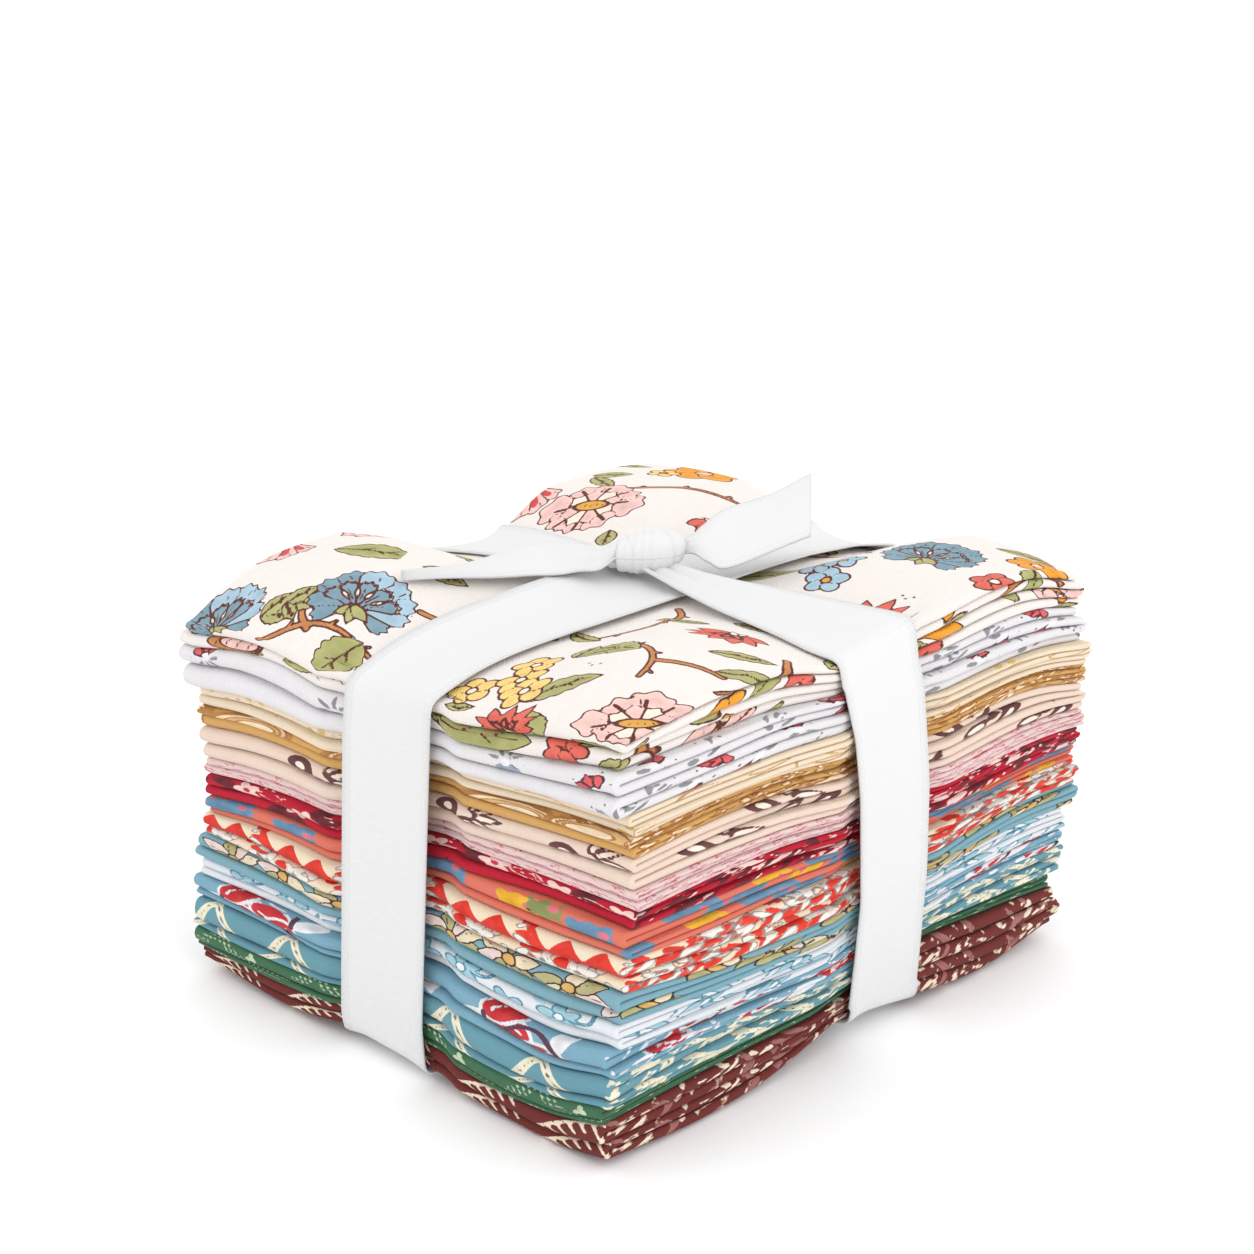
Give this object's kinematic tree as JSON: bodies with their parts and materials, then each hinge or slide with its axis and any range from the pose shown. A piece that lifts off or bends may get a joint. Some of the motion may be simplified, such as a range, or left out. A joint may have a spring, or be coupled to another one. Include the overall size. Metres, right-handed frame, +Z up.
{
  "type": "fat quarter bundle",
  "caption": "Stack of printed cotton fat quarters, each folded into the same flat pad, tied both ways with white twill tape that is knotted on top.",
  "frame": {"origin": "centre of the bundle's footprint, on the surface that it rests on", "axes": "+Z up; +X towards the side where the first, nested folds close; +Y towards the side where the free ends of the second folds lie, so that -Y is the front with the thick rolled folds"},
  "size_m": [0.1318, 0.1458, 0.1038],
  "materials": {
    "fat_quarter_01_cream_floral": "cream cotton, large floral print",
    "fat_quarter_02_white_sprig": "cool white cotton, small floral sprigs",
    "fat_quarter_03_ivory_gold": "ivory cotton, pale gold print",
    "fat_quarter_04_gold_paisley": "golden tan cotton, cream paisley print",
    "fat_quarter_05_blush_brown": "blush cotton, maroon-brown floral print",
    "fat_quarter_06_pink_lace": "pale pink cotton, fine red lace print",
    "fat_quarter_07_crimson": "crimson cotton, pale pink floral print",
    "fat_quarter_08_coral_blue": "coral cotton, denim blue and yellow print",
    "fat_quarter_09_red_scallop": "bright red cotton, cream scallop print",
    "fat_quarter_10_blue_floral": "light blue cotton, outlined olive and cream floral print",
    "fat_quarter_11_white_blue": "white cotton, light blue print",
    "fat_quarter_12_blue_poppy": "mid blue cotton, red and white flower print",
    "fat_quarter_13_teal_vine": "teal cotton, cream scalloped vine print",
    "fat_quarter_14_green_dot": "green cotton, pale green dotted print",
    "fat_quarter_15_maroon_vine": "maroon-brown cotton, cream vine print",
    "twill_tape": "white cotton twill weave, matt"
  },
  "bodies": {
    "root": {"fat_quarter_01_cream_floral": "fat_quarter_01_cream_floral", "fat_quarter_02_white_sprig": "fat_quarter_02_white_sprig", "fat_quarter_03_ivory_gold": "fat_quarter_03_ivory_gold", "fat_quarter_04_gold_paisley": "fat_quarter_04_gold_paisley", "fat_quarter_05_blush_brown": "fat_quarter_05_blush_brown", "fat_quarter_06_pink_lace": "fat_quarter_06_pink_lace", "fat_quarter_07_crimson": "fat_quarter_07_crimson", "fat_quarter_08_coral_blue": "fat_quarter_08_coral_blue", "fat_quarter_09_red_scallop": "fat_quarter_09_red_scallop", "fat_quarter_10_blue_floral": "fat_quarter_10_blue_floral", "fat_quarter_11_white_blue": "fat_quarter_11_white_blue", "fat_quarter_12_blue_poppy": "fat_quarter_12_blue_poppy", "fat_quarter_13_teal_vine": "fat_quarter_13_teal_vine", "fat_quarter_14_green_dot": "fat_quarter_14_green_dot", "fat_quarter_15_maroon_vine": "fat_quarter_15_maroon_vine", "tape_front_loop": "twill_tape", "tape_side_loop": "twill_tape", "tape_knot": "twill_tape", "tape_tail_left": "twill_tape", "tape_tail_right": "twill_tape"}
  },
  "joints": []
}
